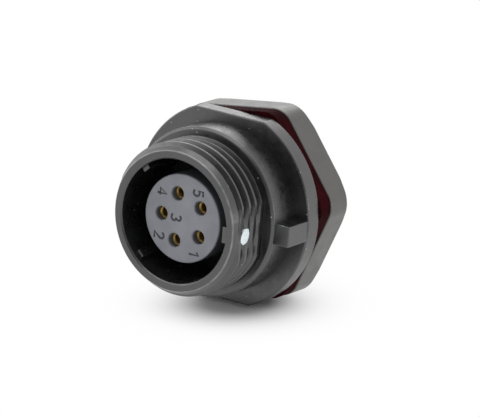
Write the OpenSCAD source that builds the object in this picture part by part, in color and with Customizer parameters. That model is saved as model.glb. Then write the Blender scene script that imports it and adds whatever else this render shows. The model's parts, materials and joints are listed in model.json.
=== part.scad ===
// Panel receptacle: threaded mouth, keyed socket ring, flange with two flats, gasket and clamp nut.
// The axis runs along Y with the mouth towards -Y, +Z up and the key at +X.
// The origin is on the axis in the rear face of the flange, where the panel sits.

/* [Coupling end] */
// Outer diameter of the coupling thread
coupling_d = 16.5; // [15.9:0.1:17.2]
// Length from the collar to the lip
coupling_l = 5.1; // [4.4:0.1:7]
// How far the lip chamfer takes the edge inwards
lip_chamfer_r = 0.2; // [0.05:0.05:0.3]
// Length of the lip chamfer along the axis
lip_chamfer_l = 0.3; // [0.2:0.05:0.6]
// Length from the lip over the smooth lead band
lead_l = 1.45; // [1.2:0.05:2]
// How much the lead band narrows towards the lip, per side
lead_taper = 0.5; // [0.3:0.05:0.7]
// Width of the groove between the lead band and the thread
start_groove_l = 0.3; // [0.2:0.05:0.5]
// Depth of that groove
start_groove_depth = 0.65; // [0.6:0.05:0.8]
// Distance of the mould flats on the thread and the lead band from the axis
thread_flat_x = 7.7; // [7.65:0.05:8]

/* [Mouth] */
// Inner diameter of the mouth
mouth_d = 13.25; // [12.8:0.05:13.6]
// Depth of the socket ring from the lip
mouth_depth = 8.5; // [7:0.1:9.5]
// Edge break at the mouth
mouth_chamfer = 0.15; // [0.05:0.05:0.3]
// Width of the main key in the mouth
key_w = 1.75; // [1.2:0.05:2.2]
// Height of the keys over the mouth wall
key_h = 0.45; // [0.3:0.05:0.7]
// Width of the two side keys
side_key_w = 0.9; // [0.6:0.05:1.4]
// Angle from the main key to each side key
side_key_angle = 133; // [110:1:150]
// Setback of the side keys from the lip
side_key_setback = 0.7; // [0:0.1:2]

/* [Collar and flange] */
// Diameter of the collar
collar_d = 18.3; // [17.6:0.1:19.4]
// Length of the collar in front of the flange
collar_l = 3.8; // [3:0.1:5]
// Bevel on the front edge of the collar
collar_bevel = 0.25; // [0.1:0.05:0.6]
// Diameter of the flange
flange_d = 22; // [21:0.1:24]
// Thickness of the flange
flange_t = 2; // [1.5:0.1:3]
// Depth of the two flats below the flange rim
flat_depth = 0.9; // [0.6:0.05:1.2]
// Edge break around the flange
flange_edge = 0.15; // [0.05:0.05:0.4]
// Width of the locating lug at the key
lug_w = 2.25; // [1.5:0.05:3]
// How far the middle of the lug lies below the middle of the key
lug_drop = 0.35; // [0:0.05:0.6]
// Setback of the lug from the front of the collar
lug_setback = 0.3; // [0.1:0.05:1]
// Setback of the lug from the flange rim
lug_inset = 0.1; // [0.05:0.05:0.5]
// Bevel along the outer edges of the lug
lug_bevel = 0.15; // [0.05:0.05:0.4]

/* [Panel shank] */
// Outer diameter of the panel thread
shank_d = 14; // [13.6:0.1:15]
// Length of the shank behind the flange
shank_l = 9.5; // [9:0.1:12]
// Chamfer at the end of the shank
shank_chamfer = 0.6; // [0.2:0.05:1]
// Depth of the insert shoulder behind the flange face
shoulder_depth = 0.8; // [0.4:0.1:1.2]

/* [Front insulator] */
// Diameter of the insulator stem in the mouth
stem_d = 9.5; // [9.3:0.05:10]
// Recess of the contact face behind the lip
face_recess = 1.65; // [1:0.05:2.5]
// Edge break around the contact face
face_edge = 0.15; // [0.05:0.05:0.3]
// Diameter of the insulator flange
insert_flange_d = 11; // [10.8:0.05:11.4]
// Thickness of the insulator flange
insert_flange_t = 1.5; // [1.3:0.1:2]
// Radial clearance of the insulators and the ring in the shell
insert_clearance = 0.05; // [0.02:0.01:0.1]
// Width of the notch that keeps the insulator from turning
notch_w = 1.2; // [0.9:0.05:1.6]
// Depth of that notch
notch_depth = 0.6; // [0.4:0.05:0.7]

/* [Insert seal] */
// Cord diameter of the seal ring
seal_cord = 0.76; // [0.6:0.02:0.9]
// Clearance around the seal ring
seal_clearance = 0.02; // [0.01:0.01:0.05]
// Distance of the seal from the floor of the socket ring
seal_setback = 1.2; // [0.8:0.1:1.6]

/* [Rear insulator and ring] */
// Recess of the retaining ring in the end of the shank
ring_recess = 1.3; // [0.5:0.1:2]
// Thickness of the retaining ring
ring_t = 2.2; // [1.5:0.1:2.5]
// Radial wall of the retaining ring
ring_wall = 0.9; // [0.7:0.05:1.1]
// Width of the two spanner slots in the ring
ring_slot_w = 1.2; // [0.8:0.1:2]
// Depth of the spanner slots
ring_slot_depth = 0.9; // [0.5:0.1:1.2]

/* [Contacts] */
// Diameter of the circle of contacts
contact_circle_d = 5.35; // [5:0.05:5.6]
// Diameter of the contact holes in the face
contact_hole_d = 1.5; // [1.4:0.02:1.7]
// Radial clearance of a contact in its holes
contact_clearance = 0.03; // [0.02:0.01:0.06]
// Recess of a contact behind the face
contact_recess = 0.8; // [0.4:0.1:1.5]
// Bore of a contact for the mating pin
pin_bore_d = 1.04; // [0.9:0.02:1.1]
// Depth of the pin bore
pin_bore_l = 6; // [4:0.1:7]
// Lead-in chamfer of the pin bore
pin_lead = 0.14; // [0.05:0.01:0.16]
// Point angle of the drilled holes
drill_angle = 118; // [90:1:140]
// Diameter of the contact collar
contact_collar_d = 2.3; // [2.1:0.05:2.5]
// Length of the contact collar
contact_collar_l = 1.2; // [0.8:0.1:1.25]
// Diameter of the solder cup
cup_d = 1.85; // [1.7:0.05:2]
// Diameter of the cup hollow
cup_bore_d = 1.35; // [1.1:0.05:1.45]
// Depth of the cup hollow
cup_depth = 3.2; // [2:0.1:4]
// Length of the open side of the cup
cup_open_l = 2.4; // [1.5:0.1:3]
// How far the cup wall reaches past its middle on the open side
cup_lip = 0.12; // [0.05:0.01:0.3]
// How far the solder cups stand out of the shank
cup_reach = 3; // [2:0.1:5]

/* [Nut and gasket] */
// How much wider the nut is across its flats than the flange
nut_over = 0.1; // [-0.4:0.05:0.6]
// Thickness of the nut
nut_t = 3.55; // [2.5:0.05:4]
// Corner radius of the nut
nut_corner_r = 2.5; // [1.5:0.1:4]
// Diameter of the chamfer circle on the rear face of the nut
nut_face_d = 20.8; // [20:0.1:21.6]
// Angle of that chamfer to the rear face
nut_chamfer_angle = 30; // [20:1:45]
// Turn of the nut against the flange flats at rest
nut_turn = 8.3; // [0:0.1:30]
// Radial clearance of the nut on the shank
nut_clearance = 0.05; // [0.02:0.01:0.1]
// Thread chamfer at both ends of the nut bore
nut_bore_chamfer = 0.4; // [0.2:0.05:0.8]
// Thickness of the gasket
gasket_t = 1.9; // [1:0.05:2.5]
// Setback of the gasket edge from the nut edge
gasket_inset = 0.08; // [0.05:0.01:0.3]
// Radial clearance of the gasket on the shank
gasket_clearance = 0.1; // [0.05:0.01:0.3]

/* [Hidden] */
$fn = 96;
contact_count = 5;
cut = 1;
// Stations along the axis, forward of the panel face
collar_z = flange_t + collar_l;
lip_z = collar_z + coupling_l;
lead_z = lip_z - lead_l;
chamfer_z = lip_z - lip_chamfer_l;
mouth_floor_z = lip_z - mouth_depth;
face_z = lip_z - face_recess;
shoulder_z = -shoulder_depth;
insert_back_z = shoulder_z - insert_flange_t;
ring_back_z = -shank_l + ring_recess;
ring_front_z = ring_back_z + ring_t;
seal_z = mouth_floor_z - seal_setback;
contact_front_z = face_z - contact_recess;
contact_back_z = -shank_l - cup_reach;
// Radii that two pieces share
coupling_r = coupling_d / 2;
lead_front_r = coupling_r - lead_taper;
start_groove_r = coupling_r - start_groove_depth;
mouth_r = mouth_d / 2;
collar_r = collar_d / 2;
flange_r = flange_d / 2;
flange_flats = flange_d - 2 * flat_depth;
nut_af = flange_flats + nut_over;
shank_r = shank_d / 2;
stem_r = stem_d / 2;
stem_bore_r = stem_r + insert_clearance;
insert_flange_r = insert_flange_d / 2;
counterbore_r = insert_flange_r + insert_clearance;
seal_ring_r = stem_bore_r - seal_clearance - seal_cord / 2;
seal_groove_r = stem_bore_r - 2 * seal_clearance - seal_cord;
seal_groove_l = seal_cord + 2 * seal_clearance;
contact_r = contact_hole_d / 2 - contact_clearance;

// Turns the axis forward: local z runs out of the panel towards the mouth, local y is up
module forward() {
  rotate([90, 0, 0]) children();
}

// Angle of a contact seen from the mouth, clockwise from the key
function contact_angle(number) = -(number - 0.5) * 360 / contact_count;

module at_contact(number) {
  rotate(contact_angle(number)) translate([contact_circle_d / 2, 0, 0]) children();
}

// Hexagon with rounded corners, one flat on top
module rounded_hexagon(across_flats, corner_r) {
  corner_x = (across_flats / 2 - corner_r) / cos(30);
  hull()
    for (corner = [0 : 5])
      rotate(corner * 60) translate([corner_x, 0]) circle(corner_r, $fn = 72);
}

// Rib from the mouth wall inwards, rooted in the wall
module mouth_key(width, setback) {
  translate([mouth_r - key_h, -width / 2, mouth_floor_z])
    cube([key_h + (lead_front_r - mouth_r) / 2, width, mouth_depth - setback]);
}

module shell_revolve() {
  rotate_extrude()
    polygon([
      [counterbore_r, -shank_l],
      [shank_r - shank_chamfer, -shank_l],
      [shank_r, -shank_l + shank_chamfer],
      [shank_r, 0],
      [flange_r - flange_edge, 0],
      [flange_r, flange_edge],
      [flange_r, flange_t - flange_edge],
      [flange_r - flange_edge, flange_t],
      [collar_r, flange_t],
      [collar_r, collar_z - collar_bevel],
      [collar_r - collar_bevel, collar_z],
      [coupling_r, collar_z],
      [coupling_r, lead_z - start_groove_l],
      [start_groove_r, lead_z - start_groove_l],
      [start_groove_r, lead_z],
      [coupling_r, lead_z],
      [lead_front_r, chamfer_z],
      [lead_front_r - lip_chamfer_r, lip_z],
      [mouth_r + mouth_chamfer, lip_z],
      [mouth_r, lip_z - mouth_chamfer],
      [mouth_r, mouth_floor_z],
      [stem_bore_r, mouth_floor_z],
      [stem_bore_r, shoulder_z],
      [counterbore_r, shoulder_z]
    ]);
}

// Moulded housing: coupling thread blank, keyed mouth, collar, lug, flange and panel shank
module shell() {
  lug_x = flange_r - lug_inset;
  lug_root_x = (coupling_r + collar_r) / 2;
  rib_w = notch_w - 2 * insert_clearance;
  rib_h = notch_depth - insert_clearance;
  rib_l = insert_flange_t - insert_clearance;
  color([0.10, 0.10, 0.11]) forward() {
    difference() {
      shell_revolve();
      // Flats above and below on the flange
      for (side = [-1, 1])
        translate([-flange_d, side * (flange_flats + flange_d) / 2 - flange_d / 2, -cut])
          cube([2 * flange_d, flange_d, flange_t + 2 * cut]);
      // Mould flats on both sides of the thread and the lead band
      for (side = [-1, 1])
        translate([side * (thread_flat_x + coupling_r) - coupling_r, -coupling_r, collar_z])
          cube([2 * coupling_r, 2 * coupling_r, coupling_l + cut]);
    }
    translate([0, -lug_drop, flange_t])
      linear_extrude(collar_l - lug_setback)
        polygon([
          [lug_root_x, -lug_w / 2],
          [lug_x - lug_bevel, -lug_w / 2],
          [lug_x, -lug_w / 2 + lug_bevel],
          [lug_x, lug_w / 2 - lug_bevel],
          [lug_x - lug_bevel, lug_w / 2],
          [lug_root_x, lug_w / 2]
        ]);
    mouth_key(key_w, 0);
    for (side = [-1, 1])
      rotate(side * side_key_angle) mouth_key(side_key_w, side_key_setback);
    // Rib that enters the notch of the front insulator
    translate([counterbore_r - rib_h, -rib_w / 2, shoulder_z - rib_l])
      cube([rib_h + (shank_r - counterbore_r) / 2, rib_w, rib_l]);
  }
}

// Sealing gasket, cut to the outline of the nut
module gasket() {
  color([0.28, 0.05, 0.07]) forward()
    translate([0, 0, -gasket_t])
      difference() {
        linear_extrude(gasket_t)
          rotate(nut_turn)
            rounded_hexagon(nut_af - 2 * gasket_inset, nut_corner_r - gasket_inset);
        translate([0, 0, -cut]) cylinder(gasket_t + 2 * cut, r = shank_r + gasket_clearance);
      }
}

// Clamp nut on the panel shank, its corners chamfered at the rear
module hex_nut() {
  bore_r = shank_r + nut_clearance;
  face_r = nut_face_d / 2;
  color([0.12, 0.12, 0.12]) forward()
    translate([0, 0, -gasket_t - nut_t])
      difference() {
        intersection() {
          linear_extrude(nut_t) rotate(nut_turn) rounded_hexagon(nut_af, nut_corner_r);
          cylinder(nut_t, r1 = face_r, r2 = face_r + nut_t / tan(nut_chamfer_angle));
        }
        translate([0, 0, -cut]) cylinder(nut_t + 2 * cut, r = bore_r);
        cylinder(nut_bore_chamfer, r1 = bore_r + nut_bore_chamfer, r2 = bore_r);
        translate([0, 0, nut_t - nut_bore_chamfer])
          cylinder(nut_bore_chamfer, r1 = bore_r, r2 = bore_r + nut_bore_chamfer);
      }
}

// Grey contact carrier, put in from the rear against the shoulder of the shell
module front_insulator() {
  collar_hole_r = contact_collar_d / 2 + contact_clearance;
  color([0.55, 0.57, 0.60]) forward()
    difference() {
      rotate_extrude()
        polygon([
          [0, insert_back_z],
          [insert_flange_r, insert_back_z],
          [insert_flange_r, shoulder_z],
          [stem_r, shoulder_z],
          [stem_r, seal_z - seal_groove_l / 2],
          [seal_groove_r, seal_z - seal_groove_l / 2],
          [seal_groove_r, seal_z + seal_groove_l / 2],
          [stem_r, seal_z + seal_groove_l / 2],
          [stem_r, face_z - face_edge],
          [stem_r - face_edge, face_z],
          [0, face_z]
        ]);
      for (number = [1 : contact_count])
        at_contact(number) {
          translate([0, 0, insert_back_z - cut])
            cylinder(face_z - insert_back_z + 2 * cut, r = contact_hole_d / 2, $fn = 48);
          translate([0, 0, insert_back_z - cut])
            cylinder(contact_collar_l + cut, r = collar_hole_r, $fn = 48);
        }
      translate([insert_flange_r - notch_depth, -notch_w / 2, insert_back_z - cut])
        cube([notch_depth + cut, notch_w, insert_flange_t + cut]);
    }
}

// Seal ring between the insulator stem and the shell
module insert_seal() {
  color([0.08, 0.08, 0.08]) forward()
    translate([0, 0, seal_z])
      rotate_extrude() translate([seal_ring_r, 0]) circle(seal_cord / 2, $fn = 32);
}

// Disc behind the contact collars
module rear_insulator() {
  rear_insulator_t = insert_back_z - ring_front_z;
  color([0.50, 0.52, 0.55]) forward()
    difference() {
      translate([0, 0, ring_front_z]) cylinder(rear_insulator_t, r = insert_flange_r);
      for (number = [1 : contact_count])
        at_contact(number)
          translate([0, 0, ring_front_z - cut])
            cylinder(rear_insulator_t + 2 * cut, r = cup_d / 2 + contact_clearance, $fn = 48);
    }
}

// Ring screwed into the shank from the rear
module retaining_ring() {
  color([0.14, 0.14, 0.15]) forward()
    difference() {
      translate([0, 0, ring_back_z]) cylinder(ring_t, r = insert_flange_r);
      translate([0, 0, ring_back_z - cut]) cylinder(ring_t + 2 * cut, r = insert_flange_r - ring_wall);
      translate([-insert_flange_d, -ring_slot_w / 2, ring_back_z - cut])
        cube([2 * insert_flange_d, ring_slot_w, ring_slot_depth + cut]);
    }
}

// Cone that a drill leaves at the end of a hole
module drill_point(radius) {
  cylinder(radius / tan(drill_angle / 2), r1 = radius, r2 = 0, $fn = 48);
}

// Turned socket contact: barrel, collar and solder cup open to the outside
module contact(number) {
  color([0.80, 0.64, 0.28]) forward()
    at_contact(number)
      difference() {
        union() {
          translate([0, 0, insert_back_z])
            cylinder(contact_front_z - insert_back_z, r = contact_r, $fn = 48);
          translate([0, 0, insert_back_z]) cylinder(contact_collar_l, r = contact_collar_d / 2, $fn = 48);
          translate([0, 0, contact_back_z])
            cylinder(insert_back_z - contact_back_z, r = cup_d / 2, $fn = 48);
        }
        translate([0, 0, contact_front_z - pin_bore_l]) {
          cylinder(pin_bore_l + cut, r = pin_bore_d / 2, $fn = 48);
          mirror([0, 0, 1]) drill_point(pin_bore_d / 2);
        }
        translate([0, 0, contact_front_z - pin_lead])
          cylinder(pin_lead, r1 = pin_bore_d / 2, r2 = pin_bore_d / 2 + pin_lead, $fn = 48);
        translate([0, 0, contact_back_z - cut])
          cylinder(cup_depth + cut, r = cup_bore_d / 2, $fn = 48);
        translate([0, 0, contact_back_z + cup_depth]) drill_point(cup_bore_d / 2);
        translate([cup_lip, -cup_d, contact_back_z - cut])
          cube([cup_d, 2 * cup_d, cup_open_l + cut]);
      }
}

module contact_1() { contact(1); }
module contact_2() { contact(2); }
module contact_3() { contact(3); }
module contact_4() { contact(4); }
module contact_5() { contact(5); }

shell();
gasket();
hex_nut();
front_insulator();
insert_seal();
rear_insulator();
retaining_ring();
contact_1();
contact_2();
contact_3();
contact_4();
contact_5();
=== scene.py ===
import json
import math

import bmesh
import bpy
from mathutils import Matrix, Vector

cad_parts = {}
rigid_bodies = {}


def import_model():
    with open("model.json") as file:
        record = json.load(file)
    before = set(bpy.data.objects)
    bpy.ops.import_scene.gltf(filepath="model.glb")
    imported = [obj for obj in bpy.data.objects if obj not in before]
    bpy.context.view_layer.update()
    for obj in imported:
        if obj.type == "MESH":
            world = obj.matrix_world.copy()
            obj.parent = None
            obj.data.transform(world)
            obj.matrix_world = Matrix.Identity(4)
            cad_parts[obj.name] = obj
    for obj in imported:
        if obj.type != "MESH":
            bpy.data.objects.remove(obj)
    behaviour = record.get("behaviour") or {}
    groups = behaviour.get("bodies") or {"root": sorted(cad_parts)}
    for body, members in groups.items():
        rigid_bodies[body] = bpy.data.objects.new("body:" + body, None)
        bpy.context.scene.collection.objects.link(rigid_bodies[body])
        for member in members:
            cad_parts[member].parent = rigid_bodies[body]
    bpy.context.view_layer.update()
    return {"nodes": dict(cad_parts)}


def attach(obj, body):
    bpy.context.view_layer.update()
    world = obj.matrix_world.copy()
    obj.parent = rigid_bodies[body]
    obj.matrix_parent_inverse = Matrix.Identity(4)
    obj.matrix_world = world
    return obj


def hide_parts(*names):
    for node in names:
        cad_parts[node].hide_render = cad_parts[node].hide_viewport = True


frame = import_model()
mm = 0.001  # every size below is in millimetres
tiny = 1e-6  # keeps a division away from zero
past = 1  # cutting tools reach this far past what they cut
axisToRow = Matrix.Rotation(math.radians(90), 4, "X")  # pieces are drawn mouth up, then laid along -Y
scene = bpy.context.scene
finishes = {}
pieceNames = []
print("frame loaded:", len(frame["nodes"]), "solids")


# Meshes
def linkNew(name, data):
    piece = bpy.data.objects.new(name, data)
    scene.collection.objects.link(piece)
    return piece


def shownMesh(piece):  # what the modifiers make of a piece
    bpy.context.view_layer.update()
    return bpy.data.meshes.new_from_object(piece.evaluated_get(bpy.context.evaluated_depsgraph_get()))


def plainMesh(piece):  # takes the modifiers' result as the piece's own mesh
    made = shownMesh(piece)
    piece.modifiers.clear()
    piece.data = made


def mendMesh(mesh, near=1e-7, least=1e-8):  # closes poles and seams, drops loose edges, turns faces outwards
    work = bmesh.new()
    work.from_mesh(mesh)
    bmesh.ops.remove_doubles(work, verts=work.verts, dist=near)
    bmesh.ops.dissolve_degenerate(work, edges=work.edges, dist=least)
    bmesh.ops.delete(work, geom=[e for e in work.edges if not e.link_faces], context="EDGES")
    bmesh.ops.delete(work, geom=[v for v in work.verts if not v.link_faces], context="VERTS")
    bmesh.ops.recalc_face_normals(work, faces=work.faces)
    work.to_mesh(mesh)
    work.free()


def workPiece(name, work):  # ends a bmesh as an object
    mesh = bpy.data.meshes.new(name)
    work.to_mesh(mesh)
    work.free()
    return linkNew(name, mesh)


def spacedAngles(step, marks=(), share=0.4):  # even steps round the axis, and the marked angles exactly
    near = math.radians(share * step)  # an even step this close to a mark gives way
    even = [math.radians(step * i) for i in range(round(360 / step))]
    kept = [a for a in even if all(abs((a - m + math.pi) % math.tau - math.pi) > near for m in marks)]
    return sorted(kept + [m % math.tau for m in marks])


def roundedLoop(corners, steps=4, hold=0.05, most=0.46):  # corners are (forward, radius, fillet)
    loop = []
    for i, (forward, radius, fillet) in enumerate(corners):
        here = Vector((forward, radius))
        if fillet == 0:
            loop.append(here)
            continue
        back = Vector(corners[i - 1][:2]) - here
        ahead = Vector(corners[(i + 1) % len(corners)][:2]) - here
        half = back.angle(ahead) / 2
        reach = min(fillet / math.tan(half), most * back.length, most * ahead.length)
        holdBack, holdAhead = (side.length - reach > 4 * hold for side in (back, ahead))
        back.normalize()
        ahead.normalize()
        middle = here + (back + ahead).normalized() * reach / math.cos(half)
        start, end = here + back * reach - middle, here + ahead * reach - middle
        turn = math.atan2(start.x * end.y - start.y * end.x, start.dot(end))
        if holdBack:  # a point beside the fillet keeps the long face flat in the shading
            loop.append(here + back * (reach + hold))
        for s in range(steps + 1):
            loop.append(middle + Matrix.Rotation(turn * s / steps, 2) @ start)
        if holdAhead:
            loop.append(here + ahead * (reach + hold))
    return loop


def turnedPiece(name, loop, angles, outline=None):  # a section taken round the axis, reshaped by an outline
    verts, faces, across = [], [], len(loop)
    for angle in angles:
        for forward, radius in loop:
            r = outline(angle, forward, radius) if outline else radius
            verts.append(Vector((r * math.cos(angle), r * math.sin(angle), forward)) * mm)
    for i in range(len(angles)):
        j = (i + 1) % len(angles)
        for k in range(across):
            n = (k + 1) % across
            faces.append((i * across + k, i * across + n, j * across + n, j * across + k))
    mesh = bpy.data.meshes.new(name)
    mesh.from_pydata(verts, [], faces)
    mendMesh(mesh)
    return linkNew(name, mesh)


def bevelledBlock(name, low, high, bevel, segments=3):
    work = bmesh.new()
    bmesh.ops.create_cube(work, size=1)
    size, middle = Vector(high) - Vector(low), (Vector(high) + Vector(low)) / 2
    for v in work.verts:
        v.co = Vector(v.co[k] * size[k] + middle[k] for k in range(3)) * mm
    edges = work.edges[:]
    bmesh.ops.bevel(work, geom=edges, offset=bevel * mm, segments=segments, profile=0.5, affect="EDGES")
    return workPiece(name, work)


def joinedTool(name, pieces):  # several loose shapes as one tool for a boolean
    work = bmesh.new()
    for piece in pieces:
        work.from_mesh(piece.data)
        bpy.data.objects.remove(piece)
    return workPiece(name, work)


def combine(piece, tool, operation):
    step = piece.modifiers.new(operation.lower(), "BOOLEAN")
    step.object, step.operation, step.solver = tool, operation, "EXACT"
    plainMesh(piece)
    bpy.data.objects.remove(tool)
    mendMesh(piece.data)


def finishPiece(piece, finish, body, nodes=(), sharp=34):
    mesh = piece.data
    mesh.transform(axisToRow)
    mesh.shade_smooth()
    mesh.set_sharp_from_angle(angle=math.radians(sharp))
    even = piece.modifiers.new("even", "WEIGHTED_NORMAL")
    even.keep_sharp = True
    plainMesh(piece)
    piece.data.materials.clear()
    piece.data.materials.append(finishes[finish])
    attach(piece, body)
    if nodes:
        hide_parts(*nodes)
    pieceNames.append(piece.name)
    print("made", piece.name, len(piece.data.polygons), "faces")


# Nodes of every kind
def feed(tree, node, inputs):  # links sockets and sets plain values
    for name, value in inputs.items():
        if isinstance(value, bpy.types.NodeSocket):
            tree.links.new(value, node.inputs[name])
        else:
            node.inputs[name].default_value = value


def addNode(tree, kind, inputs=None, **settings):
    node = tree.nodes.new(kind)
    for name, value in settings.items():
        setattr(node, name, value)
    feed(tree, node, inputs or {})
    return node


def mathNode(tree, operation, *values):
    return addNode(tree, "ShaderNodeMath", dict(enumerate(values)), operation=operation).outputs["Value"]


def vectorMath(tree, operation, *values):
    return addNode(tree, "ShaderNodeVectorMath", dict(enumerate(values)), operation=operation).outputs


def vectorNode(tree, x=0, y=0, z=0):
    return addNode(tree, "ShaderNodeCombineXYZ", {"X": x, "Y": y, "Z": z}).outputs["Vector"]


def partsNode(tree, vector):
    return addNode(tree, "ShaderNodeSeparateXYZ", {"Vector": vector}).outputs


def spreadNode(tree, value, span, target):
    ends = {"From Min": span[0], "From Max": span[1], "To Min": target[0], "To Max": target[1]}
    return addNode(tree, "ShaderNodeMapRange", {"Value": value, **ends}).outputs["Result"]


def mixNode(tree, factor, first, second):
    first, second = ((*colour, 1) if isinstance(colour, tuple) else colour for colour in (first, second))
    mix = addNode(tree, "ShaderNodeMix", {"Factor": factor, "A": first, "B": second}, data_type="RGBA")
    return mix.outputs["Result"]


def noiseNode(tree, place, scale, detail=2):
    noise = addNode(tree, "ShaderNodeTexNoise", {"Vector": place, "Scale": scale, "Detail": detail})
    return noise.outputs["Fac"]


def bumpNode(tree, height, bump, below=None):  # bump is (strength, depth)
    inputs = {"Height": height, "Strength": bump[0], "Distance": bump[1] * mm}
    if below:
        inputs["Normal"] = below
    return addNode(tree, "ShaderNodeBump", inputs).outputs["Normal"]


# Geometry trees
def startTree(name, inputs):
    tree = bpy.data.node_groups.new(name, "GeometryNodeTree")
    for label, kind in inputs.items():
        tree.interface.new_socket(label, in_out="INPUT", socket_type="NodeSocket" + kind)
    tree.interface.new_socket("Geometry", in_out="OUTPUT", socket_type="NodeSocketGeometry")
    return tree, tree.nodes.new("NodeGroupInput").outputs


def endTree(tree, geometry, finish):
    real = addNode(tree, "GeometryNodeRealizeInstances", {"Geometry": geometry})
    inputs = {"Geometry": real.outputs["Geometry"], "Material": finish}
    painted = addNode(tree, "GeometryNodeSetMaterial", inputs)
    addNode(tree, "NodeGroupOutput", {"Geometry": painted.outputs["Geometry"]})
    return tree


def movedNode(tree, geometry, name, vector):  # name is Translation, Rotation or Scale
    return addNode(tree, "GeometryNodeTransform", {"Geometry": geometry, name: vector}).outputs["Geometry"]


def sweptNode(tree, path, section, scale=1):
    inputs = {"Curve": path, "Profile Curve": section, "Scale": scale, "Fill Caps": True}
    return addNode(tree, "GeometryNodeCurveToMesh", inputs).outputs["Mesh"]


def pointParts(tree):
    return partsNode(tree, tree.nodes.new("GeometryNodeInputPosition").outputs["Position"])


def grownPiece(name, tree, values, start=None):  # what a tree makes of a start, as a plain mesh
    source = linkNew(name, start or bpy.data.meshes.new(name))
    step = source.modifiers.new("grow", "NODES")
    step.node_group = tree
    for item in tree.interface.items_tree:
        if item.in_out == "INPUT" and item.name in values:
            step[item.identifier] = values[item.name]
    mesh = shownMesh(source)
    bpy.data.objects.remove(source)
    mendMesh(mesh)
    return linkNew(name, mesh)


# Materials: moulded plastic, and a plainer finish for rubber, plating and paint
noiseSpan = (0.3, 0.7)  # the part of a noise's range that is used
cloudSpan = (0.35, 0.65)  # the same for the clouds in plastic


def startMaterial(name):
    material = bpy.data.materials.new(name)
    material.use_nodes = True
    tree = material.node_tree
    place = tree.nodes.new("ShaderNodeTexCoord").outputs["Object"]
    return material, tree, tree.nodes["Principled BSDF"], place


def cloudTone(tree, cloud, look, span=noiseSpan):
    return mixNode(tree, spreadNode(tree, cloud, span, (0, 1)), look["dark"], look["light"])


def speckNode(tree, place, dust):  # sparse small dots, each in a cell of its own
    cells = addNode(tree, "ShaderNodeTexVoronoi", {"Vector": place, "Scale": dust["scale"]}).outputs
    dots = spreadNode(tree, cells["Distance"], (dust["core"], dust["size"]), (1, 0))
    lot = addNode(tree, "ShaderNodeSeparateColor", {"Color": cells["Color"]}).outputs["Red"]
    return mathNode(tree, "MULTIPLY", dots, mathNode(tree, "LESS_THAN", lot, dust["share"]))


def axisNodes(tree, place):  # distance from the axis, and place along it with forward counting up
    flat = vectorMath(tree, "MULTIPLY", place, (1, 0, 1))["Vector"]
    radius = vectorMath(tree, "LENGTH", flat)["Value"]
    return radius, mathNode(tree, "MULTIPLY", partsNode(tree, place)["Y"], -1)


def rimNode(tree, place, rim):  # a painted highlight ring round the axis, broken up by noise
    radius, forward = axisNodes(tree, place)
    across = mathNode(tree, "SUBTRACT", radius, rim["radius"] * mm)
    along = mathNode(tree, "SUBTRACT", forward, rim["forward"] * mm)
    squares = mathNode(tree, "MULTIPLY_ADD", across, across, mathNode(tree, "MULTIPLY", along, along))
    line = spreadNode(tree, mathNode(tree, "SQRT", squares), (rim["core"] * mm, rim["width"] * mm), (1, 0))
    broken = spreadNode(tree, noiseNode(tree, place, rim["breaks"]), rim["span"], (rim["least"], 1))
    return mathNode(tree, "MULTIPLY", line, broken)


def recessShadeNode(tree, place, recessShade):  # mask for painted shade: one inside a radius and between two depths, else zero
    radius, forward = axisNodes(tree, place)
    start, full = recessShade["start"] * mm, (recessShade["start"] - recessShade["fade"]) * mm
    behind = spreadNode(tree, forward, (full, start), (1, 0))
    before = mathNode(tree, "GREATER_THAN", forward, recessShade["end"] * mm)
    inside = mathNode(tree, "LESS_THAN", radius, recessShade["radius"] * mm)
    return mathNode(tree, "MULTIPLY", behind, mathNode(tree, "MULTIPLY", before, inside))


def mouldedPlastic(name, look, ior=1.6):
    material, tree, shader, place = startMaterial(name)
    tone = cloudTone(tree, noiseNode(tree, place, look["cloud"], 3), look, cloudSpan)
    rough = spreadNode(tree, noiseNode(tree, place, look["sheen"]), noiseSpan, look["roughness"])
    if "dust" in look:
        tone = mixNode(tree, speckNode(tree, place, look["dust"]), tone, look["dust"]["tone"])
    if "rim" in look:
        # painted highlight: a lighter ring round the axis
        tone = mixNode(tree, rimNode(tree, place, look["rim"]), tone, look["rim"]["tone"])
    if "recessShade" in look:
        # painted shade: a darker tone, and more roughness, in a recess
        recessShade = recessShadeNode(tree, place, look["recessShade"])
        tone = mixNode(tree, recessShade, tone, look["recessShade"]["tone"])
        more = mathNode(tree, "SUBTRACT", look["recessShade"]["roughness"], rough)
        rough = mathNode(tree, "MULTIPLY_ADD", recessShade, more, rough)
    wave = bumpNode(tree, noiseNode(tree, place, look["wave"], 1), look["waveBump"])
    grain = bumpNode(tree, noiseNode(tree, place, look["grain"]), look["grainBump"], wave)
    feed(tree, shader, {"Base Color": tone, "Roughness": rough, "Normal": grain})
    feed(tree, shader, {"IOR": ior, "Specular IOR Level": look["gloss"]})
    return material


def grainedFinish(name, look):  # clouded tone, with one grain for both sheen and relief
    material, tree, shader, place = startMaterial(name)
    tone = cloudTone(tree, noiseNode(tree, place, *look["cloud"]), look)
    if "stretch" in look:
        turn = addNode(tree, "ShaderNodeMapping", {"Vector": place, "Scale": look["stretch"]})
        place = turn.outputs["Vector"]
    grain = noiseNode(tree, place, *look["grain"])
    rough = spreadNode(tree, grain, noiseSpan, look["roughness"])
    relief = bumpNode(tree, grain, look["bump"])
    feed(tree, shader, {"Base Color": tone, "Roughness": rough, "Normal": relief, **look["plain"]})
    return material


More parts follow.
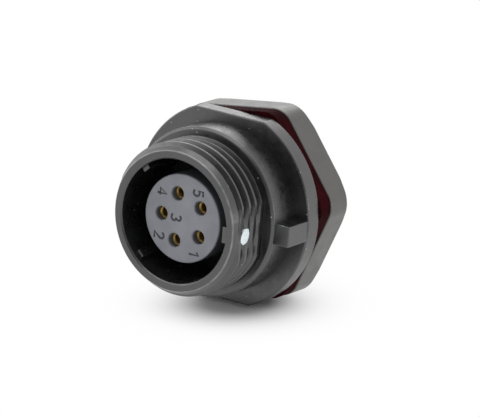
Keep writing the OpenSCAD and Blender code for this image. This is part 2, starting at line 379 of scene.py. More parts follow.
plasticLooks = {
    "shellPlastic": {
        "dark": (0.005, 0.005, 0.0055), "light": (0.010, 0.010, 0.0105), "cloud": 300, "gloss": 0.95,
        "sheen": 1300, "roughness": (0.25, 0.38), "grain": 6000, "grainBump": (0.15, 0.004),
        "wave": 420, "waveBump": (0.15, 0.02),
        "dust": {"share": 0.12, "scale": 1500, "core": 0.078, "size": 0.13, "tone": (0.36, 0.36, 0.35)},
        "rim": {  # painted highlight on the outer edge of the lip
            "radius": 7.5, "forward": 10.84, "core": 0.052, "width": 0.13,
            "breaks": 900, "span": (0.35, 0.6), "least": 0.45, "tone": (0.2, 0.2, 0.2),
        },
        "recessShade": {  # painted shade, and more roughness, on the floor of the ring-shaped socket
            "start": 3.6, "fade": 0.9, "end": 2, "radius": 6.7,
            "tone": (0.004, 0.004, 0.0043), "roughness": 1,
        },
    },
    "nutPlastic": {
        "dark": (0.016, 0.0135, 0.011), "light": (0.026, 0.022, 0.018), "cloud": 260, "gloss": 0.95,
        "sheen": 700, "roughness": (0.30, 0.42), "grain": 7000, "grainBump": (0.3, 0.008),
        "wave": 380, "waveBump": (0.2, 0.03),
    },
    "ringPlastic": {
        "dark": (0.016, 0.016, 0.018), "light": (0.024, 0.024, 0.026), "cloud": 400, "gloss": 0.7,
        "sheen": 900, "roughness": (0.38, 0.50), "grain": 8000, "grainBump": (0.3, 0.008),
        "wave": 500, "waveBump": (0.15, 0.02),
    },
    "insulatorGrey": {
        "dark": (0.190, 0.198, 0.222), "light": (0.225, 0.234, 0.260), "cloud": 500, "gloss": 0.5,
        "sheen": 1100, "roughness": (0.46, 0.58), "grain": 7000, "grainBump": (0.2, 0.006),
        "wave": 600, "waveBump": (0.15, 0.02),
        "dust": {"share": 0.04, "scale": 1500, "core": 0.048, "size": 0.08, "tone": (0.16, 0.165, 0.18)},
    },
}
plasticLooks["insertGrey"] = {
    **plasticLooks["insulatorGrey"],
    "recessShade": {  # painted shade, and more roughness, on the side and in the holes behind the face
        "start": 9.2, "fade": 0.3, "end": -20, "radius": 8,
        "tone": (0.1, 0.104, 0.115), "roughness": 0.55,
    },
}
rubberGrain = {
    "cloud": (420, 4), "grain": (5200, 3), "roughness": (0.7, 0.86), "bump": (0.45, 0.012),
    "plain": {"IOR": 1.42, "Specular IOR Level": 0.05},
}
paintGrain = {
    "cloud": (3600, 3), "grain": (3600, 3), "roughness": (0.42, 0.6), "bump": (0.3, 0.01), "plain": {},
}
grainedLooks = {
    "gasketRed": {"dark": (0.009, 0.0004, 0.0010), "light": (0.034, 0.0014, 0.0033), **rubberGrain},
    "sealBlack": {"dark": (0.018, 0.018, 0.018), "light": (0.03, 0.03, 0.03), **rubberGrain},
    "contactGold": {
        "dark": (0.56, 0.37, 0.11), "light": (0.80, 0.58, 0.20), "cloud": (900, 3), "grain": (5000, 2),
        "stretch": (0.15, 1.6, 0.15),  # turning marks run round the contact
        "roughness": (0.44, 0.58), "bump": (0.2, 0.004), "plain": {"Metallic": 1},
    },
    "dotPaint": {"dark": (0.82, 0.93, 0.97), "light": (0.92, 0.98, 0.99), **paintGrain},
    "digitInk": {"dark": (0.018, 0.019, 0.024), "light": (0.042, 0.044, 0.052), **paintGrain},
}
for finishName, finishLook in plasticLooks.items():
    finishes[finishName] = mouldedPlastic(finishName, finishLook)
for finishName, finishLook in grainedLooks.items():
    finishes[finishName] = grainedFinish(finishName, finishLook)
print("materials made")

# Shell: thread core, keyed mouth, collar, flange with two flats and panel shank
shellSet = {
    "flangeRadius": 11.0, "flangeThick": 2.0, "flangeEdge": 0.16, "flat": 10.1,
    "collarRadius": 9.15, "collarEnd": 5.8, "collarBevel": 0.25, "collarEdge": 0.18,
    "coreRadius": 7.5, "coreEdge": 0.08, "threadEnd": 9.15, "threadFlat": 7.695,
    "leadStart": 9.45, "leadRadius": 8.24, "leadTop": 0.24, "leadFall": 0.02, "leadEdge": 0.06,
    "grooveAt": 9.97, "grooveRadius": 7.68, "ringStart": 10.2, "ringRadius": 7.9, "ringEdge": 0.08,
    "lipStart": 10.8, "lipStartRadius": 7.53, "lipStartEdge": 0.04,
    "lip": 10.9, "lipRadius": 7.45, "lipEdge": 0.03,
    "mouthRadius": 6.625, "mouthBreak": 0.15, "mouthEdge": 0.06, "mouthFloor": 2.4, "floorEdge": 0.12,
    "stemBore": 4.8, "counterbore": 5.55, "boreEdge": 0.1, "shoulder": -0.8,
    "shankCore": 6.4, "shankEnd": -9.5, "shankLead": 0.3, "shankFall": 0.2, "shankEdge": 0.06,
    "margin": 0.05, "step": 1.25,
}
lugSet = {
    "root": 8.3, "outer": 10.9, "width": 2.25, "middle": -0.35, "back": 1.5, "front": 5.5, "bevel": 0.14,
}
keySet = {
    "tip": 6.175, "root": 7.0, "back": 2.1, "bevel": 0.07,
    "ribs": ((1.75, 0, 10.86), (0.9, 133, 10.2), (0.9, -133, 10.2)),  # width, angle and front end
}


def makeShell(s):
    def shellOutline(angle, forward, radius):  # mould flats beside the thread, wrench flats on the flange
        if forward > s["collarEnd"] + s["margin"] and radius > s["coreRadius"]:
            return min(radius, s["threadFlat"] / max(abs(math.cos(angle)), tiny))
        if radius < s["collarRadius"] + s["margin"] or forward > s["flangeThick"] + s["margin"]:
            return radius
        flat = s["flat"] - (s["flangeRadius"] - radius)
        return min(radius, flat / max(abs(math.sin(angle)), tiny))

    bevel, brk = s["collarBevel"], s["mouthBreak"]
    corners = [
        (s["shankEnd"], s["counterbore"], s["boreEdge"]),
        (s["shankEnd"], s["shankCore"] - s["shankFall"], s["shankEdge"]),
        (s["shankEnd"] + s["shankLead"], s["shankCore"], s["shankEdge"]),
        (0, s["shankCore"], 0),
        (0, s["flangeRadius"], s["flangeEdge"]),
        (s["flangeThick"], s["flangeRadius"], s["flangeEdge"]),
        (s["flangeThick"], s["collarRadius"], 0),
        (s["collarEnd"] - bevel, s["collarRadius"], s["collarEdge"]),
        (s["collarEnd"], s["collarRadius"] - bevel, s["collarEdge"]),
        (s["collarEnd"], s["coreRadius"], s["coreEdge"]),
        (s["threadEnd"], s["coreRadius"], s["coreEdge"]),
        (s["leadStart"], s["leadRadius"], s["leadEdge"]),
        (s["leadStart"] + s["leadTop"], s["leadRadius"] - s["leadFall"], s["leadEdge"]),
        (s["grooveAt"], s["grooveRadius"], s["leadEdge"]),
        (s["ringStart"], s["ringRadius"], s["ringEdge"]),
        (s["lipStart"], s["lipStartRadius"], s["lipStartEdge"]),
        (s["lip"], s["lipRadius"], s["lipEdge"]),
        (s["lip"], s["mouthRadius"] + brk, s["mouthEdge"]),
        (s["lip"] - brk, s["mouthRadius"], s["mouthEdge"]),
        (s["mouthFloor"], s["mouthRadius"], s["floorEdge"]),
        (s["mouthFloor"], s["stemBore"], 0),
        (s["shoulder"], s["stemBore"], 0),
        (s["shoulder"], s["counterbore"], 0),
    ]
    turns = [math.asin(s["flat"] / s["flangeRadius"])]
    turns += [math.acos(s["threadFlat"] / s[k]) for k in ("leadRadius", "ringRadius")]
    marks = [angle for turn in turns for angle in (turn, math.pi - turn, math.pi + turn, -turn)]
    return turnedPiece("shellBody", roundedLoop(corners), spacedAngles(s["step"], marks), shellOutline)


def makeRibs(lug, key):
    low = (lug["root"], lug["middle"] - lug["width"] / 2, lug["back"])
    high = (lug["outer"], lug["middle"] + lug["width"] / 2, lug["front"])
    blocks = [bevelledBlock("lug", low, high, lug["bevel"])]
    for width, angle, front in key["ribs"]:
        low, high = (key["tip"], -width / 2, key["back"]), (key["root"], width / 2, front)
        rib = bevelledBlock("key", low, high, key["bevel"])
        rib.data.transform(Matrix.Rotation(math.radians(angle), 4, "Z"))
        blocks.append(rib)
    return joinedTool("ribs", blocks)


shellBody = makeShell(shellSet)
combine(shellBody, makeRibs(lugSet, keySet), "UNION")
finishPiece(shellBody, "shellPlastic", "shell", ["shell"])

# Threads: a ridge swept along a helix, thinned at both ends and cut off by the mould flats
threadSets = {
    "couplingThread": {
        "finish": "shellPlastic", "body": "shell", "slot": "shell_plastic", "start": 4.98, "turns": 3.75,
        "pitch": 1.115, "base": 7.4, "crest": 8.235, "foot": 1.12, "top": 0.34, "rounding": 0.07,
        "flat": 7.69, "fade": 0.12,
    },
    "panelThread": {
        "finish": "shellPlastic", "body": "shell", "slot": "shell_plastic", "start": -9.25, "turns": 8.9,
        "pitch": 1, "base": 6.3, "crest": 6.985, "foot": 1, "top": 0.18, "rounding": 0.05,
        "flat": 20, "fade": 0.5,  # a flat this far out cuts nothing
    },
    "nutThread": {
        "finish": "nutPlastic", "body": "nut", "slot": "nut_plastic", "start": -5.15, "turns": 2.9,
        "pitch": 1, "base": 7.5, "crest": 7.07, "foot": 0.9, "top": 0.2, "rounding": 0.05,
        "flat": 20, "fade": 0.3,
    },
}


def threadTree(thinnest=0.05):
    sizes = (
        "Turns", "Pitch", "Base radius", "Start", "Height", "Foot", "Crest", "Rounding",
        "Side", "Fade", "Flat",
    )
    inputs = {**dict.fromkeys(sizes, "Float"), "Steps": "Int", "Finish": "Material"}
    tree, given = startTree("threadRidge", inputs)
    spiral = addNode(tree, "GeometryNodeCurveSpiral", {
        "Resolution": given["Steps"], "Rotations": given["Turns"],
        "Start Radius": given["Base radius"], "End Radius": given["Base radius"],
        "Height": mathNode(tree, "MULTIPLY", given["Turns"], given["Pitch"]),
    })
    helix = movedNode(tree, spiral.outputs["Curve"], "Translation", vectorNode(tree, z=given["Start"]))
    upright = addNode(tree, "GeometryNodeSetCurveNormal", {"Curve": helix}, mode="Z_UP")

    section = addNode(tree, "GeometryNodeCurvePrimitiveQuadrilateral", {
        "Height": given["Height"], "Bottom Width": given["Foot"], "Top Width": given["Crest"], "Offset": 0,
    }, mode="TRAPEZOID")
    rounded = addNode(tree, "GeometryNodeFilletCurve", {
        "Curve": section.outputs["Curve"], "Radius": given["Rounding"], "Count": 3, "Limit Radius": True,
    }, mode="POLY")
    rise = vectorNode(tree, y=mathNode(tree, "MULTIPLY", given["Height"], 0.5))
    stood = movedNode(tree, rounded.outputs["Curve"], "Translation", rise)
    turned = movedNode(tree, stood, "Rotation", vectorNode(tree, z=-math.pi / 2))
    facing = movedNode(tree, turned, "Scale", vectorNode(tree, given["Side"], 1, 1))

    along = tree.nodes.new("GeometryNodeSplineParameter").outputs["Factor"]
    ends = mathNode(tree, "MINIMUM", along, mathNode(tree, "SUBTRACT", 1, along))
    fade = mathNode(tree, "DIVIDE", mathNode(tree, "MULTIPLY", ends, given["Turns"]), given["Fade"])
    scale = mathNode(tree, "MAXIMUM", mathNode(tree, "MINIMUM", 1, fade), thinnest)
    ridge = sweptNode(tree, upright.outputs["Curve"], facing, scale)

    spot = pointParts(tree)
    low = mathNode(tree, "MULTIPLY", given["Flat"], -1)
    flatX = mathNode(tree, "MAXIMUM", mathNode(tree, "MINIMUM", spot["X"], given["Flat"]), low)
    cut = vectorNode(tree, flatX, spot["Y"], spot["Z"])
    shaped = addNode(tree, "GeometryNodeSetPosition", {"Geometry": ridge, "Position": cut})
    return endTree(tree, shaped.outputs["Geometry"], given["Finish"])


def makeThread(name, s, tree, steps=160):
    values = {
        "Turns": s["turns"], "Pitch": s["pitch"] * mm, "Base radius": s["base"] * mm,
        "Height": abs(s["crest"] - s["base"]) * mm, "Foot": s["foot"] * mm, "Crest": s["top"] * mm,
        "Rounding": s["rounding"] * mm, "Side": math.copysign(1, s["base"] - s["crest"]),
        "Start": s["start"] * mm, "Flat": s["flat"] * mm, "Fade": s["fade"], "Steps": steps,
        "Finish": finishes[s["finish"]],
    }
    return grownPiece(name, tree, values)


threadRidge = threadTree()
for threadName, threadSet in threadSets.items():
    thread = makeThread(threadName, threadSet, threadRidge)
    finishPiece(thread, threadSet["finish"], threadSet["body"])

# Nut and gasket: rounded hexagons turned a little against the flange
nutSet = {
    "half": 10.145, "cornerRadius": 2.5, "rimDepth": 1, "turn": 8.3, "front": -1.9, "back": -5.45,
    "edge": 0.14, "bore": 7.45, "mouth": 7.75, "mouthDepth": 0.3, "mouthEdge": 0.05,
    "faceCircle": 10.4, "faceSlope": 1.73, "coneOver": 0.3, "step": 1.25,
}
gasketSet = {
    "half": 10.07, "cornerRadius": 2.42, "rimDepth": 1, "turn": 8.3, "front": -0.004, "back": -1.896,
    "edge": 0.12, "bore": 7.1, "boreEdge": 0.05, "step": 1.25,
}


def hexagonOutline(s):
    sixth, twelfth, turn = math.radians(60), math.radians(30), math.radians(s["turn"])
    centre = (s["half"] - s["cornerRadius"]) / math.cos(twelfth)
    tangent = math.atan2(s["cornerRadius"] / 2, centre + s["cornerRadius"] * math.cos(twelfth))

    def outline(angle, forward, radius):
        inset = s["half"] - radius
        if inset > s["rimDepth"]:  # bores stay round
            return radius
        off = abs((angle - turn + twelfth) % sixth - twelfth)
        corner = s["cornerRadius"] - inset
        arc = centre * math.cos(off) + math.sqrt(max(corner ** 2 - (centre * math.sin(off)) ** 2, 0))
        flat = (s["half"] - inset) / math.cos(twelfth - off)
        return arc if off < tangent else flat

    marks = [turn + sixth * k + side * tangent for k in range(6) for side in (-1, 0, 1)]
    return outline, spacedAngles(s["step"], marks)


def makeNut(s):
    outline, angles = hexagonOutline(s)
    corners = [
        (s["back"], s["mouth"], s["mouthEdge"]), (s["back"], s["half"], s["edge"]),
        (s["front"], s["half"], s["edge"]), (s["front"], s["mouth"], s["mouthEdge"]),
        (s["front"] - s["mouthDepth"], s["bore"], 0), (s["back"] + s["mouthDepth"], s["bore"], 0),
    ]
    nut = turnedPiece("clampNut", roundedLoop(corners), angles, outline)
    low, high = s["back"] - s["coneOver"], s["front"] + s["coneOver"]
    slope = [Vector((f, s["faceCircle"] + (f - s["back"]) * s["faceSlope"])) for f in (low, high)]
    cone = turnedPiece("cone", [Vector((low, 0)), *slope, Vector((high, 0))], spacedAngles(s["step"]))
    combine(nut, cone, "INTERSECT")  # chamfers the corners at the rear
    return nut


def makeGasket(s):
    outline, angles = hexagonOutline(s)
    corners = [
        (s["back"], s["bore"], s["boreEdge"]), (s["back"], s["half"], s["edge"]),
        (s["front"], s["half"], s["edge"]), (s["front"], s["bore"], s["boreEdge"]),
    ]
    return turnedPiece("gasketPad", roundedLoop(corners), angles, outline)


finishPiece(makeNut(nutSet), "nutPlastic", "nut", ["hex_nut"], sharp=26)
finishPiece(makeGasket(gasketSet), "gasketRed", "gasket", ["gasket"])

# Insert stack: contact carrier, rear disc, lock ring and seal
insertSet = {
    "face": 9.25, "radius": 4.75, "edge": 0.14, "groove": 4.0, "grooveMiddle": 1.2, "grooveHalf": 0.4,
    "shoulder": -0.8, "flangeRadius": 5.5, "flangeEdge": 0.06, "back": -2.3, "step": 1.875,
    "hole": 0.75, "holeBreak": 0.09, "collarHole": 1.18, "collarDepth": 1.2, "holeStep": 7.5,
    "circle": 2.675, "count": 5, "firstAngle": -36,
}
rearSet = {"front": -2.3, "back": -6.0, "radius": 5.5, "edge": 0.06, "hole": 0.955, "step": 2.5}
ringSet = {
    "front": -6.0, "back": -8.2, "radius": 5.5, "bore": 4.6, "frontEdge": 0.06, "backEdge": 0.12,
    "slotWidth": 1.2, "slotDepth": 0.9, "slotBevel": 0.08, "step": 1.875,
}
sealSet = {"radius": 4.4, "cord": 0.76, "middle": 1.2, "cordStep": 20, "step": 3.75}


def holeTools(loop, s):
    tools = []
    for k in range(s["count"]):
        angle = math.radians(s["firstAngle"] - 360 / s["count"] * k)
        spot = Vector((math.cos(angle), math.sin(angle), 0)) * s["circle"] * mm
        tool = turnedPiece("hole", loop, spacedAngles(s["holeStep"]))
        tool.data.transform(Matrix.Translation(spot))
        tools.append(tool)
    return joinedTool("holes", tools)


def makeInsert(s):
    low, high = s["grooveMiddle"] - s["grooveHalf"], s["grooveMiddle"] + s["grooveHalf"]
    corners = [
        (s["face"], 0, 0), (s["face"], s["radius"], s["edge"]),
        (high, s["radius"], 0), (high, s["groove"], 0), (low, s["groove"], 0), (low, s["radius"], 0),
        (s["shoulder"], s["radius"], 0), (s["shoulder"], s["flangeRadius"], s["flangeEdge"]),
        (s["back"], s["flangeRadius"], s["flangeEdge"]), (s["back"], 0, 0),
    ]
    carrier = turnedPiece("contactInsert", roundedLoop(corners), spacedAngles(s["step"]))
    face, hole, brk = s["face"], s["hole"], s["holeBreak"]
    proud = 0.3 * brk  # the tool stands a little proud of the face
    deep, end = s["back"] + s["collarDepth"], s["back"] - past
    loop = [
        (face + proud, 0), (face + proud, hole + brk + proud), (face - proud, hole + brk - proud),
        (face - brk, hole), (deep, hole), (deep, s["collarHole"]), (end, s["collarHole"]), (end, 0),
    ]
    combine(carrier, holeTools(loop, s), "DIFFERENCE")
    return carrier


def makeRearDisc(s, insert):
    corners = [
        (s["front"], 0, 0), (s["front"], s["radius"], s["edge"]), (s["back"], s["radius"], s["edge"]),
        (s["back"], 0, 0),
    ]
    disc = turnedPiece("rearDisc", roundedLoop(corners), spacedAngles(s["step"]))
    high, low = s["front"] + past, s["back"] - past
    loop = [(high, 0), (high, s["hole"]), (low, s["hole"]), (low, 0)]
    combine(disc, holeTools(loop, insert), "DIFFERENCE")
    return disc


def makeLockRing(s):
    corners = [
        (s["front"], s["bore"], 0), (s["front"], s["radius"], s["frontEdge"]),
        (s["back"], s["radius"], s["backEdge"]), (s["back"], s["bore"], s["backEdge"]),
    ]
    ring = turnedPiece("lockRing", roundedLoop(corners), spacedAngles(s["step"]))
    half, reach = s["slotWidth"] / 2, s["radius"] + past
    low, high = (-reach, -half, s["back"] - past), (reach, half, s["back"] + s["slotDepth"])
    combine(ring, bevelledBlock("slot", low, high, s["slotBevel"]), "DIFFERENCE")
    return ring


def makeSeal(s):
    cord, turns = s["cord"] / 2, spacedAngles(s["cordStep"])
    loop = [Vector((s["middle"] + cord * math.cos(a), s["radius"] + cord * math.sin(a))) for a in turns]
    return turnedPiece("insertSeal", loop, spacedAngles(s["step"]))


finishPiece(makeInsert(insertSet), "insertGrey", "shell", ["front_insulator"])
rearDisc = makeRearDisc(rearSet, insertSet)
finishPiece(rearDisc, "insulatorGrey", "shell", ["rear_insulator"])
finishPiece(makeLockRing(ringSet), "ringPlastic", "shell", ["retaining_ring"])
finishPiece(makeSeal(sealSet), "sealBlack", "shell", ["insert_seal"])

# Contacts: one turned socket, repeated round the circle
contactSet = {
    "front": 8.45, "barrel": 0.72, "bore": 0.52, "lead": 0.14, "boreEnd": 2.45, "tip": 0.6, "edge": 0.05,
    "collarFront": -1.1, "collar": 1.15, "collarBack": -2.3, "collarEdge": 0.06,
    "cup": 0.925, "cupBore": 0.675, "cupEdge": 0.04, "cupFloor": -9.3, "back": -12.5,
    "openFrom": 0.12, "openTo": -10.1, "scoop": 2, "scoopBevel": 0.2, "edgeSteps": 3, "step": 7.5,
}


def makeContact(s):
    corners = [
        (s["front"], s["bore"] + s["lead"], 0), (s["front"], s["barrel"], s["edge"]),
        (s["collarFront"], s["barrel"], 0), (s["collarFront"], s["collar"], s["collarEdge"]),
        (s["collarBack"], s["collar"], s["collarEdge"]), (s["collarBack"], s["cup"], 0),
        (s["back"], s["cup"], s["edge"]), (s["back"], s["cupBore"], s["cupEdge"]),
        (s["cupFloor"], s["cupBore"], 0), (s["cupFloor"] + s["tip"] * s["cupBore"], 0, 0),
        (s["boreEnd"] - s["tip"] * s["bore"], 0, 0), (s["boreEnd"], s["bore"], 0),
        (s["front"] - s["lead"], s["bore"], 0),
    ]
    contact = turnedPiece("contact", roundedLoop(corners, s["edgeSteps"]), spacedAngles(s["step"]))
    low, high = (s["openFrom"], -s["scoop"], s["back"] - past), (s["scoop"], s["scoop"], s["openTo"])
    scoop = bevelledBlock("scoop", low, high, s["scoopBevel"])
    combine(contact, scoop, "DIFFERENCE")  # opens the solder cup
    return contact


def ringTree():
    inputs = {"Contact": "Object", "Count": "Int", "Circle radius": "Float", "First angle": "Float"}
    tree, given = startTree("contactRing", {**inputs, "Finish": "Material"})
    inputs = {"Vertices": given["Count"], "Radius": given["Circle radius"]}
    circle = addNode(tree, "GeometryNodeMeshCircle", inputs).outputs["Mesh"]
    points = movedNode(tree, circle, "Rotation", vectorNode(tree, z=given["First angle"]))
    spot = pointParts(tree)
    outward = vectorNode(tree, z=mathNode(tree, "ARCTAN2", spot["Y"], spot["X"]))
    source = addNode(tree, "GeometryNodeObjectInfo", {"Object": given["Contact"]}).outputs["Geometry"]
    inputs = {"Points": points, "Instance": source, "Rotation": outward}
    copies = addNode(tree, "GeometryNodeInstanceOnPoints", inputs)
    return endTree(tree, copies.outputs["Instances"], given["Finish"])


oneContact = makeContact(contactSet)
contactSockets = grownPiece("contactSockets", ringTree(), {
    "Contact": oneContact, "Count": insertSet["count"], "Circle radius": insertSet["circle"] * mm,
    "First angle": math.radians(insertSet["firstAngle"]), "Finish": finishes["contactGold"],
})
bpy.data.objects.remove(oneContact)
contactNodes = ["contact_" + str(n + 1) for n in range(insertSet["count"])]
finishPiece(contactSockets, "contactGold", "shell", contactNodes)

# Pin numbers: thin raised strokes on the face of the insert, their tops towards the key
digitSet = {
    "height": 1.2, "stroke": 0.26, "rise": 0.03, "around": 10,
    "spots": {
        "1": (1.79, -3.38), "2": (-2.75, -2.42), "3": (-0.76, -0.06), "4": (-2.75, 2.33), "5": (1.78, 3.13),
    },
}


def arcPoints(x, y, rx, ry, first, last, count=9):
    steps = [math.radians(first + (last - first) * i / count) for i in range(count + 1)]
    return [(x + rx * math.cos(a), y + ry * math.sin(a)) for a in steps]


digitStrokes = {
    "1": [(0.10, 0.76), (0.36, 1.0), (0.36, 0.0)],
    "2": arcPoints(0.30, 0.72, 0.26, 0.28, 165, -38) + [(0.04, 0.0), (0.60, 0.0)],
    "3": arcPoints(0.28, 0.75, 0.24, 0.25, 150, -75) + arcPoints(0.28, 0.26, 0.29, 0.26, 75, -150),
    "4": [(0.46, 0.0), (0.46, 1.0), (0.02, 0.30), (0.64, 0.30)],
    "5": [(0.54, 1.0), (0.12, 1.0), (0.08, 0.54)] + arcPoints(0.28, 0.32, 0.29, 0.32, 128, -140),
}


def strokeTree(around):
    inputs = {"Geometry": "Geometry", "Stroke": "Float", "Rise": "Float", "Finish": "Material"}
    tree, given = startTree("digitStroke", inputs)
    half = mathNode(tree, "MULTIPLY", given["Stroke"], 0.5)
    section = addNode(tree, "GeometryNodeCurvePrimitiveCircle", {"Resolution": around, "Radius": half})
    stroke = sweptNode(tree, given["Geometry"], section.outputs["Curve"])
    flatten = vectorNode(tree, 1, 1, mathNode(tree, "DIVIDE", given["Rise"], half))
    return endTree(tree, movedNode(tree, stroke, "Scale", flatten), given["Finish"])


def makeDigits(s, face):
    curve = bpy.data.curves.new("digitPaths", "CURVE")
    curve.dimensions = "3D"
    for digit, (x, y) in s["spots"].items():
        points = digitStrokes[digit]
        middle = (min(u for u, v in points) + max(u for u, v in points)) / 2
        line = curve.splines.new("POLY")
        line.points.add(len(points) - 1)
        for spot, (u, v) in zip(line.points, points):
            spot.co = ((x + (v - 0.5) * s["height"]) * mm, (y - (u - middle) * s["height"]) * mm, 0, 1)
    values = {"Stroke": s["stroke"] * mm, "Rise": s["rise"] * mm, "Finish": finishes["digitInk"]}
    digits = grownPiece("pinDigits", strokeTree(s["around"]), values, curve)
    digits.data.transform(Matrix.Translation((0, 0, face * mm)))
    return digits


finishPiece(makeDigits(digitSet, insertSet["face"]), "digitInk", "shell", sharp=60)

# Index dot: a drop of paint on the flat beside the key
dotSet = {
    "x": 7.695, "depth": 0.3, "crown": 0.05, "sink": 0.02, "y": -0.3, "forward": 8.8, "halfTall": 0.85,
    "halfWide": 0.72, "lean": 0.26, "rings": 6, "around": 48,
    "wobble": ((2, 0.6, 0.05), (3, 2.1, 0.04), (7, 0, 0.02)),  # waves round the edge, their start and size
}


def makeDot(s):
    work = bmesh.new()

    def ring(share, x):
        loop = []
        for k in range(s["around"]):
            a = math.tau * k / s["around"]
            edge = 1 + sum(size * math.sin(waves * a + start) for waves, start, size in s["wobble"])
            y, z = s["halfTall"] * edge * share * math.sin(a), s["halfWide"] * edge * share * math.cos(a)
            loop.append(work.verts.new(Vector((x, s["y"] + y, s["forward"] + z - s["lean"] * y)) * mm))
        return loop

    loops = [ring(1, s["x"] - s["depth"]), ring(1, s["x"] - s["sink"])]
    for k in range(1, s["rings"]):
        turn = math.pi / 2 * k / s["rings"]
        loops.append(ring(math.cos(turn), s["x"] + s["crown"] * math.sin(turn)))
    tip = work.verts.new(Vector((s["x"] + s["crown"], s["y"], s["forward"])) * mm)
    for k in range(s["around"]):
        n = (k + 1) % s["around"]
        for first, second in zip(loops, loops[1:]):
            work.faces.new((first[k], first[n], second[n], second[k]))
        work.faces.new((loops[-1][k], loops[-1][n], tip))
    work.faces.new(loops[0][::-1])
    dot = workPiece("dotMark", work)
    mendMesh(dot.data)
    return dot


finishPiece(makeDot(dotSet), "dotPaint", "shell", sharp=60)

# Camera, as the photograph was taken
cameraSet = {
    "azimuth": 33.15, "elevation": 15.95, "roll": 4.67, "lens": 262.5, "sensor": 36, "clip": (0.01, 20),
    "aim": (0, -10.9, 0), "right": 6.960, "up": 1.361, "distance": 363.4,
}


def makeCamera(s):
    az, el, roll = (math.radians(s[k]) for k in ("azimuth", "elevation", "roll"))
    back = Vector((math.sin(az) * math.cos(el), -math.cos(az) * math.cos(el), math.sin(el)))
    level = Vector((math.cos(az), math.sin(az), 0))
    above = back.cross(level)
    right = level * math.cos(roll) + above * math.sin(roll)
    up = above * math.cos(roll) - level * math.sin(roll)
    data = bpy.data.cameras.new("camera")
    data.lens, data.sensor_width = s["lens"], s["sensor"]
    data.clip_start, data.clip_end = s["clip"]
    camera = linkNew("camera", data)
    place = (Vector(s["aim"]) + right * s["right"] + up * s["up"] + back * s["distance"]) * mm
    camera.matrix_world = Matrix.Translation(place) @ Matrix((right, up, back)).transposed().to_4x4()
    scene.camera = camera


makeCamera(cameraSet)

# Stage: a white floor under the lip and the nut, a pale world and soft panels
floorSet = {
    "normal": (-0.065, -0.044, 0.997), "half": 900, "tone": 0.9, "roughness": 0.9, "gloss": 0.1,
    "middle": (1.8, -0.4, -10.5), "near": 3.3, "fall": 4.5, "bend": 1.55,
}
worldSet = {"fill": 0.72, "seen": 1, "open": (0.25, -0.9, 0.3), "openEdge": (0.6, 0.9), "openLevel": 0.15}
panelAim = (0, -4, 0)
panelSets = {
    "topPanel": {"place": (-40, -60, 300), "size": (260, 260), "level": 1.1},
    "leftPanel": {"place": (-300, -150, 120), "size": (240, 300), "level": 1.2},
    "rightPanel": {"place": (345, 60, 20), "size": (320, 50), "level": 4.0},
    "backPanel": {"place": (-200, 300, 190), "size": (360, 200), "level": 1.3},
}


def seenRays(tree):  # rays from the camera, and those with the mirrored and refracted ones
    paths = tree.nodes.new("ShaderNodeLightPath").outputs
    camera = paths["Is Camera Ray"]
    mirrored = mathNode(tree, "MAXIMUM", camera, paths["Is Glossy Ray"])
    return camera, mathNode(tree, "MAXIMUM", mirrored, paths["Is Transmission Ray"])


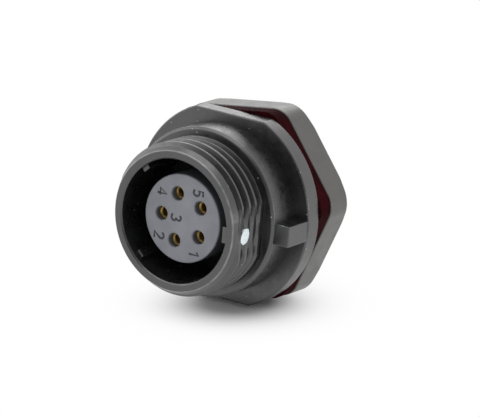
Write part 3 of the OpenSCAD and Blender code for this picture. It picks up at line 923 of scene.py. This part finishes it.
def makeFloor(s):
    normal, half = Vector(s["normal"]).normalized(), s["half"] * mm
    across = Vector((0, 1, 0)).cross(normal).normalized()
    along = normal.cross(across)
    lowest = min(normal.dot(v.co) for o in scene.objects if o.name in pieceNames for v in o.data.vertices)
    centre = normal * lowest  # the part rests on its lowest point
    verts = [centre + across * half * x + along * half * y for x, y in ((-1, -1), (1, -1), (1, 1), (-1, 1))]
    mesh = bpy.data.meshes.new("floor")
    mesh.from_pydata(verts, [], [(0, 1, 2, 3)])
    floor = linkNew("floor", mesh)
    material, tree, shader, place = startMaterial("floorWhite")
    tone = (s["tone"], s["tone"], s["tone"], 1)
    feed(tree, shader, {"Base Color": tone, "Roughness": s["roughness"], "Specular IOR Level": s["gloss"]})
    away = vectorMath(tree, "DISTANCE", place, Vector(s["middle"]) * mm)["Value"]
    beyond = mathNode(tree, "MAXIMUM", mathNode(tree, "SUBTRACT", away, s["near"] * mm), 0)
    bent = mathNode(tree, "POWER", mathNode(tree, "DIVIDE", beyond, s["fall"] * mm), s["bend"])
    shade = mathNode(tree, "EXPONENT", mathNode(tree, "MULTIPLY", bent, -1))
    clear = mathNode(tree, "SUBTRACT", 1, shade)  # 0 in the shadow, 1 well away from the part
    seen = seenRays(tree)[1]
    white = addNode(tree, "ShaderNodeEmission", {"Strength": 1}).outputs["Emission"]
    share = mathNode(tree, "MULTIPLY", clear, seen)
    mix = addNode(tree, "ShaderNodeMixShader", {"Fac": share, 1: shader.outputs["BSDF"], 2: white})
    feed(tree, tree.nodes["Material Output"], {"Surface": mix.outputs["Shader"]})
    mesh.materials.append(material)


def makeWorld(s):
    world = bpy.data.worlds.new("tent")
    scene.world = world
    world.use_nodes = True
    tree = world.node_tree
    camera, seen = seenRays(tree)
    place = tree.nodes.new("ShaderNodeTexCoord").outputs["Generated"]
    towards = vectorMath(tree, "DOT_PRODUCT", place, Vector(s["open"]).normalized())["Value"]
    tent = spreadNode(tree, towards, s["openEdge"], (s["seen"], s["openLevel"]))  # open at the front
    plain = mathNode(tree, "MAXIMUM", camera, tent)
    fill = spreadNode(tree, seen, (0, 1), (s["fill"], 0))
    level = mathNode(tree, "MULTIPLY_ADD", plain, seen, fill)
    feed(tree, tree.nodes["Background"], {"Strength": level, "Color": (1, 1, 1, 1)})


def makePanel(name, s):
    data = bpy.data.lights.new(name, "AREA")
    data.shape = "RECTANGLE"
    data.size, data.size_y = s["size"][0] * mm, s["size"][1] * mm
    data.energy = s["level"] * math.pi * data.size * data.size_y
    place, aim = Vector(s["place"]) * mm, Vector(panelAim) * mm
    turn = (aim - place).to_track_quat("-Z", "Y").to_matrix().to_4x4()
    linkNew(name, data).matrix_world = Matrix.Translation(place) @ turn


makeFloor(floorSet)
makeWorld(worldSet)
for panelName, panelSet in panelSets.items():
    makePanel(panelName, panelSet)
scene.view_settings.view_transform = "Standard"
print("camera, floor and light made")
